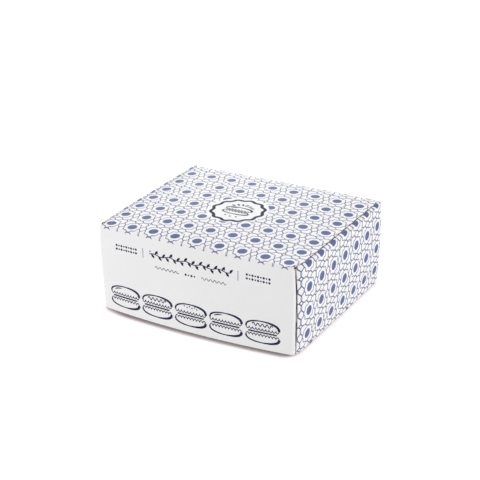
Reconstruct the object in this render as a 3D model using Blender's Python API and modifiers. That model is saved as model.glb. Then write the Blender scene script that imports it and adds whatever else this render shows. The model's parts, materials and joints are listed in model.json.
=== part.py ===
"""Shut gift carton for macarons, folded from fluted board.

One board makes the upright front panel, the crowned lid and the back panel. It wraps a solid
core, which stands for the closed inside. Two rolled side walls and a base panel close the rest,
and small lock tabs show in slots at the foot of the walls.

Units are metres, +Z is up, the front panel faces -Y and the base rests on z = 0.
"""

import math

import bmesh
import bpy
from mathutils import Matrix

MM = 0.001

# Carton
LID_HEIGHT = 73.4 * MM  # top of the lid along its side edges
DEPTH = 148.4 * MM  # front crease to back panel
BOARD = 1.6 * MM
FOLD_RADIUS = 2.4 * MM  # outside of a folded board
CREASE_RADIUS = 1.8 * MM  # the scored front crease is sharper
HINGE_RADIUS = 5.0 * MM  # the lid's hinge along the back is softer
GAP = 0.3 * MM  # between pieces that touch
TABLE_CLEARANCE = 0.2 * MM  # under the front and back panels

# Cover board
PANEL_WIDTH = 174.2 * MM  # over the upright folds of the front and back panels, at their ends
PANEL_SHIFT = -0.65 * MM  # the panels sit a little to the left
PANEL_BOW = 1.1 * MM  # how far their upright edges bow out
PANEL_BOW_POWER = 1.6  # above 1, they bow most over the middle of their height
EAR_LENGTH = 0.6 * MM  # what is left of the tucked-in flaps behind the upright folds
LID_LEFT = 85.8 * MM  # lid edges, measured from the middle: the lid sits to the right
LID_RIGHT = 88.9 * MM
LID_CORNER_LEFT = 86.0 * MM  # the same at its corners
LID_CORNER_RIGHT = 87.4 * MM
LID_TAPER_LENGTH = 14.0 * MM
LID_CROWN = 2.6 * MM
CROWN_HALF_WIDTH = 82.0 * MM
CROWN_WIDTH_POWER = 2.6
CROWN_DEPTH_POWER = 0.7
CROWN_FORWARD_POWER = 0.8  # below 1, the crown is fuller towards the front
FRONT_BULGE = 5.0 * MM  # the foot of the front panel stands forward in the middle

# Side walls. Each place gives the foot of the wall's outside from the middle of the carton, the
# lean, the belly, and the flare with which the roll pushes the top out. The right wall bellies
# out more than the left one. A power says how squarely the wall turns towards an end. The lid's
# edge stands a little above the right roll and a little below the left one.
RIGHT_WALL = {
    "middle": (88.75 * MM, 2.5 * MM, 1.9 * MM, 1.3 * MM),
    "front": (87.4 * MM, 0.7 * MM, 0.9 * MM, 0.0),
    "back": (89.0 * MM, 2.3 * MM, 1.2 * MM, 0.0),
    "front_power": 16.0,
    "back_power": 6.0,
    "roll_top": 73.15 * MM,
}
LEFT_WALL = {
    "middle": (86.6 * MM, 1.7 * MM, 1.5 * MM, 1.1 * MM),
    "front": (86.4 * MM, 0.9 * MM, 0.5 * MM, 0.0),
    "back": (87.0 * MM, 2.3 * MM, 1.2 * MM, 0.0),
    "front_power": 3.0,
    "back_power": 2.0,
    "roll_top": 74.0 * MM,
}
WALL_FLARE_POWER = 4.0
WALL_END_ROUNDING = 1.2 * MM
WALL_INSIDE = 83.0 * MM
WALL_END_SETBACK = 3.3 * MM  # behind the faces of the front and back panels
ROLL_RADIUS = 2.2 * MM
ROLL_GAP = 0.4 * MM  # between the lid's edge and the roll
FOOT_RADIUS = 1.2 * MM
BASE_HALF_WIDTH = 84.5 * MM

# Lock tabs
TAB_PLACES = (23.6 * MM, 87.4 * MM)  # behind the face of the front panel
TAB_LENGTH = 3.6 * MM
TAB_HEIGHT = 1.2 * MM
TAB_RISE = 0.5 * MM
TAB_DEPTH = 3.0 * MM
TAB_INNER = 85.7 * MM  # no tab reaches further in than this
TAB_PROUD = 0.4 * MM

# Mesh density
FRONT_ROWS = 9
LID_ROWS = 16
BACK_ROWS = 3
FOLD_ROWS = 4
PANEL_COLUMNS = 22
FOLD_COLUMNS = 3
WALL_STATIONS = 22
WALL_FACE_STEPS = 9
ROLL_STEPS = 4

# Worked out
FRONT_Y = -(DEPTH - FRONT_BULGE) / 2
BACK_Y = FRONT_Y + DEPTH
PANEL_FLAT = PANEL_WIDTH / 2 - FOLD_RADIUS
CORE_HALF_WIDTH = WALL_INSIDE - GAP
CORE_TOP = LID_HEIGHT - BOARD - GAP
CORE_ROUNDING = HINGE_RADIUS - BOARD - GAP
WALL_END_FRONT = FRONT_Y + WALL_END_SETBACK
WALL_END_BACK = BACK_Y - WALL_END_SETBACK
WALL_MIDDLE = (WALL_END_FRONT + WALL_END_BACK) / 2
WALL_REACH = (WALL_END_BACK - WALL_END_FRONT) / 2

PRINTED_BOARD = (0.79, 0.80, 0.87, 1.0)
PRINTED_WALL = (0.80, 0.81, 0.88, 1.0)
PLAIN_WHITE = (0.86, 0.86, 0.85, 1.0)
RAW_BOARD = (0.45, 0.36, 0.25, 1.0)
PAPER_ROUGHNESS = 0.55
RAW_ROUGHNESS = 0.85


def smooth_step(value):
    """Ease from 0 to 1 as value goes from 0 to 1."""
    t = min(max(value, 0.0), 1.0)
    return t * t * (3.0 - 2.0 * t)


def lid_edge(y, side):
    """Half width of the lid at depth y, on the side -1 (left) or +1 (right)."""
    nearest = min(y - FRONT_Y, BACK_Y - y)
    middle, corner = (LID_RIGHT, LID_CORNER_RIGHT) if side > 0 else (LID_LEFT, LID_CORNER_LEFT)
    return corner + (middle - corner) * smooth_step(nearest / LID_TAPER_LENGTH)


def lid_crown(x, y):
    """Rise of the lid at a place, nothing at its creases and side edges."""
    across = min(abs(x) / CROWN_HALF_WIDTH, 1.0)
    along = min(max((y - FRONT_Y) / DEPTH, 0.0), 1.0)
    if not 0.0 < along < 1.0:
        return 0.0
    swell = math.sin(math.pi * along**CROWN_FORWARD_POWER) ** CROWN_DEPTH_POWER
    return LID_CROWN * (1.0 - across**CROWN_WIDTH_POWER) * swell


def panel_bow(z):
    """How far the upright edges of the front and back panels bow out at a height."""
    return PANEL_BOW * math.sin(math.pi * (z / LID_HEIGHT) ** PANEL_BOW_POWER)


def front_bulge(x, z):
    """How far the front panel stands forward, growing from the crease to the foot."""
    across = min(abs(x - PANEL_SHIFT) / PANEL_FLAT, 1.0)
    return FRONT_BULGE * (1.0 - across**2) * (1.0 - z / LID_HEIGHT)


def wall_outside(y, z, side):
    """Outside of the wall on the side -1 (left) or +1 (right), from the middle of the carton."""
    wall = RIGHT_WALL if side > 0 else LEFT_WALL
    end_name = "front" if y < WALL_MIDDLE else "back"
    height = z / LID_HEIGHT
    full, end = (
        foot + lean * height + belly * math.sin(math.pi * height) + flare * height**WALL_FLARE_POWER
        for foot, lean, belly, flare in (wall["middle"], wall[end_name])
    )
    power = wall[f"{end_name}_power"]
    square = 1.0 - min(abs(y - WALL_MIDDLE) / WALL_REACH, 1.0) ** power
    if y < WALL_MIDDLE:
        return end + (full - end) * square
    into_rounding = WALL_END_ROUNDING - min(WALL_END_BACK - y, WALL_END_ROUNDING)
    rounding = WALL_END_ROUNDING - math.sqrt(WALL_END_ROUNDING**2 - into_rounding**2)
    return end + (full - end) * square - rounding


def shelf_height(y):
    """Height of the wall's ledge under the lid's edge, which drops with the hinge."""
    along = y - (BACK_Y - HINGE_RADIUS)
    if along <= 0.0:
        return CORE_TOP
    inside = HINGE_RADIUS - BOARD - GAP
    return LID_HEIGHT - HINGE_RADIUS + math.sqrt(inside**2 - along**2)


def paint(name, colour, roughness):
    """Principled material of one paper."""
    material = bpy.data.materials.new(name)
    material.use_nodes = True
    shader = material.node_tree.nodes["Principled BSDF"]
    shader.inputs["Base Color"].default_value = colour
    shader.inputs["Roughness"].default_value = roughness
    shader.inputs["Metallic"].default_value = 0.0
    return material


def new_collection(name, parent):
    """Collection linked under its parent."""
    collection = bpy.data.collections.new(name)
    parent.children.link(collection)
    return collection


def place(obj, name, collection, material=None):
    """Name an object, move it to its collection and give it its material."""
    for other in list(obj.users_collection):
        other.objects.unlink(obj)
    collection.objects.link(obj)
    obj.name = name
    obj.data.name = name
    if material:
        obj.data.materials.clear()
        obj.data.materials.append(material)
    return obj


def apply_modifier(obj, modifier):
    """Apply one modifier with its object alone selected."""
    bpy.ops.object.select_all(action="DESELECT")
    obj.select_set(True)
    bpy.context.view_layer.objects.active = obj
    bpy.ops.object.modifier_apply(modifier=modifier.name)


def outward_normals(obj):
    """Turn every face of a closed mesh outwards."""
    mesh = bmesh.new()
    mesh.from_mesh(obj.data)
    bmesh.ops.recalc_face_normals(mesh, faces=mesh.faces)
    mesh.to_mesh(obj.data)
    mesh.free()


def board_rows():
    """Stations along the cover board, from the foot of the front to the foot of the back.

    Each is (zone, y, z) on the outside of the board before it is crowned or bulged.
    """
    rows = []
    crease_z = LID_HEIGHT - CREASE_RADIUS
    hinge_z = LID_HEIGHT - HINGE_RADIUS
    for i in range(FRONT_ROWS):
        rise = (crease_z - TABLE_CLEARANCE) * i / FRONT_ROWS
        rows.append(("front", FRONT_Y, TABLE_CLEARANCE + rise))
    for i in range(FOLD_ROWS + 1):
        turn = math.pi / 2 * i / FOLD_ROWS
        y = FRONT_Y + CREASE_RADIUS * (1.0 - math.cos(turn))
        z = crease_z + CREASE_RADIUS * math.sin(turn)
        rows.append(("front" if i == 0 else "lid", y, z))
    flat_start, flat_end = FRONT_Y + CREASE_RADIUS, BACK_Y - HINGE_RADIUS
    for i in range(1, LID_ROWS):
        along = 0.5 - 0.5 * math.cos(math.pi * i / LID_ROWS)
        rows.append(("lid", flat_start + (flat_end - flat_start) * along, LID_HEIGHT))
    for i in range(FOLD_ROWS + 1):
        turn = math.pi / 2 * i / FOLD_ROWS
        y = flat_end + HINGE_RADIUS * math.sin(turn)
        z = hinge_z + HINGE_RADIUS * math.cos(turn)
        rows.append(("back" if i == FOLD_ROWS else "lid", y, z))
    for i in range(1, BACK_ROWS + 1):
        drop = (hinge_z - TABLE_CLEARANCE) * i / BACK_ROWS
        rows.append(("back", BACK_Y, hinge_z - drop))
    return rows


def board_columns():
    """Stations across the cover board, each (side, share of the flat half, turn, ear)."""
    half = PANEL_COLUMNS // 2
    flat = [math.sin(math.pi / 2 * i / half) for i in range(-half, half + 1)]
    right = [(1, 1.0, math.pi / 2 * i / FOLD_COLUMNS, 0.0) for i in range(1, FOLD_COLUMNS + 1)]
    right.append((1, 1.0, math.pi / 2, EAR_LENGTH))
    left = [(-1, share, turn, ear) for _, share, turn, ear in reversed(right)]
    middle = [(1 if share > 0 else -1, abs(share), 0.0, 0.0) for share in flat]
    return left + middle + right


def board_point(row, column):
    """Place of one station of the cover board."""
    zone, y, z = row
    side, share, turn, ear = column
    if zone == "lid":
        x = side * share * lid_edge(y, side)
        return x, y, z + lid_crown(x, y)
    x = PANEL_SHIFT + side * (share * (PANEL_FLAT + panel_bow(z)) + FOLD_RADIUS * math.sin(turn))
    inward = FOLD_RADIUS * (1.0 - math.cos(turn)) + ear
    if zone == "front":
        return x, y - front_bulge(x, z) + inward, z
    return x, y - inward, z


def build_cover_board(collection, material):
    """Front panel, lid and back panel as one folded sheet with its thickness."""
    rows, columns = board_rows(), board_columns()
    bpy.ops.mesh.primitive_grid_add(
        x_subdivisions=len(columns) - 1, y_subdivisions=len(rows) - 1, size=2.0
    )
    obj = place(bpy.context.object, "cover_board", collection, material)
    sheet = bmesh.new()
    sheet.from_mesh(obj.data)
    ears = []
    for face in sheet.faces:
        centre = face.calc_center_median()
        column = (centre.x + 1.0) / 2.0 * (len(columns) - 1)
        row = (centre.y + 1.0) / 2.0 * (len(rows) - 1)
        zones = {rows[int(row)][0], rows[int(row) + 1][0]}
        folded = columns[int(column)][2] > 0.0 or columns[int(column) + 1][2] > 0.0
        if folded and "lid" in zones:
            ears.append(face)
    for vert in sheet.verts:
        column = round((vert.co.x + 1.0) / 2.0 * (len(columns) - 1))
        row = round((vert.co.y + 1.0) / 2.0 * (len(rows) - 1))
        vert.co = board_point(rows[row], columns[column])
    bmesh.ops.delete(sheet, geom=ears, context="FACES")
    sheet.normal_update()
    sheet.to_mesh(obj.data)
    sheet.free()
    thicken = obj.modifiers.new("board thickness", "SOLIDIFY")
    thicken.thickness = BOARD
    thicken.offset = -1.0
    thicken.use_even_offset = True
    apply_modifier(obj, thicken)
    outward_normals(obj)
    return obj


def wall_section(y, side):
    """Outline of a rolled wall at depth y as (x, z) pairs for the right-hand side."""
    step = lid_edge(y, side) + ROLL_GAP
    roll_top = (RIGHT_WALL if side > 0 else LEFT_WALL)["roll_top"]
    top = wall_outside(y, roll_top - ROLL_RADIUS, side)
    roll_width = min(ROLL_RADIUS, top - step)
    outline = [(WALL_INSIDE, BOARD + 2 * GAP), (BASE_HALF_WIDTH + GAP, BOARD + 2 * GAP)]
    outline.append((BASE_HALF_WIDTH + GAP, 0.0))
    outline.append((wall_outside(y, 0.0, side) - FOOT_RADIUS, 0.0))
    face_height = roll_top - ROLL_RADIUS - FOOT_RADIUS / 2
    for i in range(WALL_FACE_STEPS + 1):
        z = FOOT_RADIUS / 2 + face_height * i / WALL_FACE_STEPS
        outline.append((wall_outside(y, z, side), z))
    for i in range(1, ROLL_STEPS + 1):
        turn = math.pi / 2 * i / ROLL_STEPS
        x = top - roll_width * (1.0 - math.cos(turn))
        z = roll_top - ROLL_RADIUS * (1.0 - math.sin(turn))
        outline.append((x, z))
    outline.append((step, roll_top - ROLL_RADIUS * 0.02))
    outline.append((step, shelf_height(y)))
    outline.append((WALL_INSIDE, shelf_height(y)))
    return outline


def wall_depths():
    """Depths of the wall's sections, closer together towards its ends."""
    turns = [math.pi * i / WALL_STATIONS - math.pi / 2 for i in range(WALL_STATIONS + 1)]
    return [WALL_MIDDLE + WALL_REACH * math.sin(turn) for turn in turns]


def build_side_wall(name, side, collection, material):
    """Rolled side wall, bridged from its sections and capped at both ends."""
    skin = bmesh.new()
    for y in wall_depths():
        ring = [skin.verts.new((side * x, y, z)) for x, z in wall_section(y, side)]
        for start, end in zip(ring, ring[1:] + ring[:1]):
            skin.edges.new((start, end))
    bmesh.ops.bridge_loops(skin, edges=skin.edges)
    bmesh.ops.holes_fill(skin, edges=skin.edges, sides=0)
    mesh = bpy.data.meshes.new(name)
    skin.to_mesh(mesh)
    skin.free()
    obj = bpy.data.objects.new(name, mesh)
    place(obj, name, collection, material)
    outward_normals(obj)
    return obj


def add_block(name, low, high, collection, material=None, bevel=0.0):
    """Box between two corners, with its edges bevelled by the given width."""
    centre = [(a + b) / 2 for a, b in zip(low, high)]
    bpy.ops.mesh.primitive_cube_add(size=1.0, location=centre)
    obj = place(bpy.context.object, name, collection, material)
    obj.scale = [b - a for a, b in zip(low, high)]
    bpy.ops.object.transform_apply(location=True, rotation=True, scale=True)
    if bevel:
        rounding = obj.modifiers.new("edge rounding", "BEVEL")
        rounding.width = bevel
        rounding.segments = 2
        apply_modifier(obj, rounding)
    return obj


def cut(obj, cutter):
    """Take a cutter out of a solid."""
    boolean = obj.modifiers.new("slot", "BOOLEAN")
    boolean.operation = "DIFFERENCE"
    boolean.solver = "EXACT"
    boolean.object = cutter
    apply_modifier(obj, boolean)


def build_lock_tabs(walls, collection, cutters, material):
    """Tabs in the slots at the foot of the walls, where the inner leaf locks into the base."""
    for label, side in (("left", -1), ("right", 1)):
        for place_name, behind in zip(("front", "rear"), TAB_PLACES):
            y = FRONT_Y + behind
            foot = wall_outside(y, TAB_RISE, side)
            low = (max(foot - TAB_DEPTH, TAB_INNER), y - TAB_LENGTH / 2, TAB_RISE)
            high = (foot + TAB_PROUD, y + TAB_LENGTH / 2, TAB_RISE + TAB_HEIGHT)
            xs = sorted((side * low[0], side * high[0]))
            tab_low, tab_high = (xs[0], low[1], low[2]), (xs[1], high[1], high[2])
            add_block(f"lock_tab_{label}_{place_name}", tab_low, tab_high, collection, material)
            slot_low = [value - GAP for value in tab_low]
            slot_high = [value + GAP for value in tab_high]
            slot = add_block(f"slot_{label}_{place_name}", slot_low, slot_high, cutters)
            slot.hide_render = True
            slot.display_type = "WIRE"
            cut(walls[side], slot)


def off_middle():
    """How far the middle of the carton's box is from the middle of its base, along X."""
    right, left = (
        max(x for y in wall_depths() for x, _ in wall_section(y, side)) for side in (1, -1)
    )
    return (right - left) / 2


def main():
    """Build the carton."""
    for obj in list(bpy.data.objects):
        bpy.data.objects.remove(obj, do_unlink=True)
    scene_collection = bpy.context.scene.collection
    carton = new_collection("macaron_carton", scene_collection)
    cutters = new_collection("cutters", scene_collection)
    cutters.hide_render = True

    printed = paint("printed_board", PRINTED_BOARD, PAPER_ROUGHNESS)
    wall_print = paint("printed_wall", PRINTED_WALL, PAPER_ROUGHNESS)
    white = paint("plain_white_board", PLAIN_WHITE, PAPER_ROUGHNESS)
    raw = paint("raw_board", RAW_BOARD, RAW_ROUGHNESS)

    build_cover_board(carton, printed)
    walls = {
        -1: build_side_wall("side_wall_left", -1, carton, wall_print),
        1: build_side_wall("side_wall_right", 1, carton, wall_print),
    }
    inner_front = FRONT_Y + BOARD + GAP
    inner_back = BACK_Y - BOARD - GAP
    add_block(
        "base_panel",
        (-BASE_HALF_WIDTH, inner_front, 0.0),
        (BASE_HALF_WIDTH, inner_back, BOARD),
        carton,
        white,
    )
    add_block(
        "closed_core",
        (-CORE_HALF_WIDTH, inner_front, BOARD + GAP),
        (CORE_HALF_WIDTH, inner_back, CORE_TOP),
        carton,
        white,
        bevel=CORE_ROUNDING,
    )
    build_lock_tabs(walls, carton, cutters, raw)
    to_centre = Matrix.Translation((-off_middle(), 0.0, 0.0))
    for obj in list(carton.objects) + list(cutters.objects):
        obj.data.transform(to_centre)


main()
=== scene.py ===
"""Dresses the shut macaron carton: its printed board, rolled walls, ink and kraft edges.

Units are metres, +Z is up and the front panel faces -Y. Every piece is shaped in place around the
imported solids, so its object stays at the origin.
"""

import json
import logging
import math
from dataclasses import dataclass, field
from enum import Enum
from typing import Callable, Sequence

import bpy
import numpy as np
from mathutils import Matrix, Vector

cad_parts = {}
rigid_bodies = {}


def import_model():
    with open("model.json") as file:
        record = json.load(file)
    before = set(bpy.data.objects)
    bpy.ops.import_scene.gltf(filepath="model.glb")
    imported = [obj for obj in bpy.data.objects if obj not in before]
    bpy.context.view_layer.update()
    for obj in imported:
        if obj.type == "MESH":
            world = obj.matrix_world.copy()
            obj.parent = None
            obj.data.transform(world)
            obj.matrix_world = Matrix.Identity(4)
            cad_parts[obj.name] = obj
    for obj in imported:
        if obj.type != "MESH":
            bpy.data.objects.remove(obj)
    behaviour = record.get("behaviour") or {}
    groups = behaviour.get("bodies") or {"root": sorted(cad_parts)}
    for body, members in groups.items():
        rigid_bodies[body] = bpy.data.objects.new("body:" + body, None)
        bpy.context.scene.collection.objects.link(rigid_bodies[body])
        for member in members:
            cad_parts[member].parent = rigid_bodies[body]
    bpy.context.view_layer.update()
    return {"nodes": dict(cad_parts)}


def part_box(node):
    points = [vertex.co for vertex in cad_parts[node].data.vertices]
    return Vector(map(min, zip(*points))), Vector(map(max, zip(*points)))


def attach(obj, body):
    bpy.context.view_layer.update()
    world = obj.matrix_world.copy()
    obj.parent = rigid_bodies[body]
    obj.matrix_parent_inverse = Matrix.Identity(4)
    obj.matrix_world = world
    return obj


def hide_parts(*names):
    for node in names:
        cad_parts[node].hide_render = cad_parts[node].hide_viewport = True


for leftover in list(bpy.data.objects):
    bpy.data.objects.remove(leftover, do_unlink=True)
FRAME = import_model()

MM = 0.001
QUARTER = math.pi / 2
ROOT = "root"
PRINT_MAP = "print"
LOG = logging.getLogger("carton")

Object = bpy.types.Object
Material = bpy.types.Material
Face = bpy.types.MeshPolygon
Node = bpy.types.Node
NodeTree = bpy.types.NodeTree
Socket = bpy.types.NodeSocket
Value = float | Socket
Point = tuple[float, float]
Triple = tuple[float, float, float]
Colour = Triple
Outline = tuple[float, float, float, float]


class Side(Enum):
    """Left or right of the carton, seen from the front."""

    LEFT = -1
    RIGHT = 1


class Topping(Enum):
    """What a drawn macaron carries on its upper shell."""

    SHINE = "shine"
    DRIZZLE = "drizzle"
    CRUMBS = "crumbs"


def smooth_step(value: float) -> float:
    """Ease from 0 to 1 as value goes from 0 to 1."""
    t = min(max(value, 0.0), 1.0)
    return t * t * (3.0 - 2.0 * t)


def spread(start: float, end: float, steps: int) -> list[float]:
    """Even stations from start to end, both included."""
    return [start + (end - start) * i / steps for i in range(steps + 1)]


@dataclass(frozen=True)
class CartonForm:
    """Outer form of the shut carton, measured from the middle of its base.

    The faces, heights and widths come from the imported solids. The board's sizes and the bows of
    its panels are the design's own.
    """

    front_y: float
    back_y: float
    lid_height: float
    wall_front: float
    wall_back: float
    lid_right: float
    panel_half: float
    foot_z: float
    middle_x: float  # of the base, in the frame
    wall_setback: float = 3.3 * MM
    lid_left: float = 85.8 * MM
    lid_corner_left: float = 86.0 * MM
    lid_corner_right: float = 87.4 * MM
    corner_taper: float = 14.0 * MM
    board: float = 1.6 * MM
    fold_radius: float = 2.4 * MM
    crease_radius: float = 1.8 * MM
    hinge_radius: float = 5.0 * MM
    crown_height: float = 2.6 * MM
    crown_half: float = 82.0 * MM
    crown_width_power: float = 2.6
    crown_depth_power: float = 0.7
    crown_forward_power: float = 0.8
    bulge_depth: float = 5.0 * MM
    panel_shift: float = -0.65 * MM
    panel_bow: float = 1.1 * MM
    panel_bow_power: float = 1.6

    @classmethod
    def from_frame(cls) -> "CartonForm":
        """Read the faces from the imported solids.

        Returns:
            The form that the solids have.
        """
        cover_low, cover_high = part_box("cover_board")
        wall_low, wall_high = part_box("side_wall_right")
        base_low, base_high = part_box("base_panel")
        middle_x = (base_low.x + base_high.x) / 2
        return cls(
            front_y=wall_low.y - cls.wall_setback,
            back_y=cover_high.y,
            lid_height=cover_high.z - cls.crown_height,
            wall_front=wall_low.y,
            wall_back=wall_high.y,
            lid_right=cover_high.x - middle_x,
            panel_half=middle_x - cover_low.x + cls.panel_shift - cls.panel_bow,
            foot_z=cover_low.z,
            middle_x=middle_x,
        )

    @property
    def panel_flat(self) -> float:
        """Half width of the flat of the front and back panels, at their ends."""
        return self.panel_half - self.fold_radius

    @property
    def crease_z(self) -> float:
        """Height at which the front panel starts to turn over the crease."""
        return self.lid_height - self.crease_radius

    @property
    def wall_span(self) -> Point:
        """Middle and half length of the side walls, along the depth."""
        return (self.wall_front + self.wall_back) / 2, (self.wall_back - self.wall_front) / 2

    def lid_edge(self, y: float, side: Side) -> float:
        """Half width of the lid.

        Args:
            y: Depth of the place.
            side: Which edge of the lid.

        Returns:
            Distance of the edge from the middle of the carton.
        """
        nearest = min(y - self.front_y, self.back_y - y)
        middle, corner = self.lid_left, self.lid_corner_left
        if side is Side.RIGHT:
            middle, corner = self.lid_right, self.lid_corner_right
        return corner + (middle - corner) * smooth_step(nearest / self.corner_taper)

    def crown(self, x: float, y: float) -> float:
        """Rise of the lid over its side edges.

        Args:
            x: Place across the lid.
            y: Place along the lid.

        Returns:
            Height over the edges, nothing at the creases.
        """
        across = min(abs(x) / self.crown_half, 1.0)
        along = (y - self.front_y) / (self.back_y - self.front_y)
        if not 0.0 < along < 1.0:
            return 0.0
        swell = math.sin(math.pi * along**self.crown_forward_power) ** self.crown_depth_power
        return self.crown_height * (1.0 - across**self.crown_width_power) * swell

    def bulge(self, x: float, z: float) -> float:
        """How far the front panel stands forward, most in the middle of its foot."""
        across = min(abs(x - self.panel_shift) / self.panel_flat, 1.0)
        return self.bulge_depth * (1.0 - across**2) * (1.0 - z / self.lid_height)

    def bow(self, z: float) -> float:
        """How far the upright edges of the front and back panels bow out at a height."""
        return self.panel_bow * math.sin(math.pi * (z / self.lid_height) ** self.panel_bow_power)

    def front_point(self, x: float, z: float, lift: float) -> Vector:
        """Place on the front panel, lifted off its paper."""
        return Vector((x, self.front_y - self.bulge(x, z) - lift, z))

    def lid_point(self, x: float, y: float, lift: float) -> Vector:
        """Place on the lid, lifted off its paper."""
        return Vector((x, y, self.lid_height + self.crown(x, y) + lift))

    def to_frame(self, obj: Object) -> None:
        """Move a piece that was shaped round the middle of the base to its place in the frame."""
        obj.data.transform(Matrix.Translation((self.middle_x, 0.0, 0.0)))


def make_active(obj: Object) -> None:
    """Select one object alone and make it active.

    Args:
        obj: The object.
    """
    bpy.ops.object.select_all(action="DESELECT")
    obj.select_set(True)
    bpy.context.view_layer.objects.active = obj


def apply_modifier(obj: Object, modifier: bpy.types.Modifier) -> None:
    """Apply one modifier with its object alone selected."""
    make_active(obj)
    bpy.ops.object.modifier_apply(modifier=modifier.name)


def in_edit_mode(obj: Object, work: Callable[[], None], select_all: bool = False) -> None:
    """Run edit-mode operators on one object.

    Args:
        obj: The object to edit.
        work: The operators to run.
        select_all: Whether the whole mesh is selected first.
    """
    make_active(obj)
    bpy.ops.object.mode_set(mode="EDIT")
    if select_all:
        bpy.ops.mesh.select_all(action="SELECT")
    work()
    bpy.ops.object.mode_set(mode="OBJECT")


def select_faces(obj: Object, chosen: Callable[[Face], bool]) -> None:
    """Select the faces of a mesh that a rule names, and nothing else.

    Args:
        obj: The object, in object mode.
        chosen: Rule that says whether a face is selected.
    """

    def clear_faces() -> None:
        """Leave no face selected."""
        bpy.ops.mesh.select_all(action="DESELECT")
        bpy.ops.mesh.select_mode(type="FACE")

    in_edit_mode(obj, clear_faces)
    for face in obj.data.polygons:
        face.select = chosen(face)


def solidify(obj: Object, thickness: float, inner_slot: int = 0, rim_slot: int = 0) -> None:
    """Give an open sheet its thickness, behind its face.

    Args:
        obj: The sheet.
        thickness: How thick it becomes.
        inner_slot: Material slots to step for the hidden face.
        rim_slot: Material slots to step for the cut edge.
    """
    thicken = obj.modifiers.new("thickness", "SOLIDIFY")
    thicken.thickness = thickness
    thicken.offset = -1.0
    thicken.use_even_offset = True
    thicken.material_offset = inner_slot
    thicken.material_offset_rim = rim_slot
    apply_modifier(obj, thicken)


def dress(obj: Object, *materials: Material) -> None:
    """Give a piece its materials.

    Args:
        obj: The piece.
        materials: Its materials, in the order of its slots.
    """
    obj.data.materials.clear()
    for material in materials:
        obj.data.materials.append(material)


def smooth(obj: Object, sharp_degrees: float) -> None:
    """Shade a piece smoothly, with its edges over an angle left sharp."""
    obj.data.shade_smooth()
    obj.data.set_sharp_from_angle(angle=math.radians(sharp_degrees))


def shaped_grid(
    name: str,
    places: Sequence[Sequence[Vector]],
    prints: Sequence[Sequence[Point]] | None = None,
    left_out: Callable[[int, int], bool] | None = None,
) -> Object:
    """Add a grid and move its points to their places.

    Args:
        name: Name of the piece.
        places: Rows of points, all of the same length.
        prints: The same rows in print coordinates, one unit a tile.
        left_out: Rule that says whether the cell after a row and a column is left out.

    Returns:
        The sheet, with its print coordinates as a UV map.
    """
    rows, columns = len(places), len(places[0])
    bpy.ops.object.select_all(action="DESELECT")
    bpy.ops.mesh.primitive_grid_add(x_subdivisions=columns - 1, y_subdivisions=rows - 1, size=2.0)
    obj = bpy.context.object
    mesh = obj.data
    obj.name = mesh.name = name
    if left_out:

        def unwanted(face: Face) -> bool:
            """Whether a face of the flat grid is left out."""
            across, along = (face.center.x + 1.0) / 2.0, (face.center.y + 1.0) / 2.0
            return left_out(int(along * (rows - 1)), int(across * (columns - 1)))

        select_faces(obj, unwanted)
        in_edit_mode(obj, lambda: bpy.ops.mesh.delete(type="FACE"))
    flat = np.zeros(len(mesh.vertices) * 3)
    mesh.vertices.foreach_get("co", flat)
    flat = (flat.reshape(-1, 3) + 1.0) / 2.0
    column = np.rint(flat[:, 0] * (columns - 1)).astype(int)
    row = np.rint(flat[:, 1] * (rows - 1)).astype(int)
    points = np.array([[tuple(point) for point in line] for line in places])[row, column]
    mesh.vertices.foreach_set("co", points.ravel())
    if prints:
        unrolled = np.array(prints)[row, column]
        corners = np.zeros(len(mesh.loops), dtype=int)
        mesh.loops.foreach_get("vertex_index", corners)
        layer = mesh.uv_layers.active or mesh.uv_layers.new()
        layer.name = PRINT_MAP
        layer.data.foreach_set("uv", unrolled[corners].ravel())
    mesh.update()
    return obj


def settle(obj: Object, slot: str, *nodes: str) -> None:
    """Hand a finished piece to the frame.

    Args:
        obj: The piece.
        slot: The record's material slot. Not used.
        nodes: Solids that the piece stands for.
    """
    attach(obj, ROOT)
    if nodes:
        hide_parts(*nodes)
    LOG.info("%s: %d faces", obj.name, len(obj.data.polygons))


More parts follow.
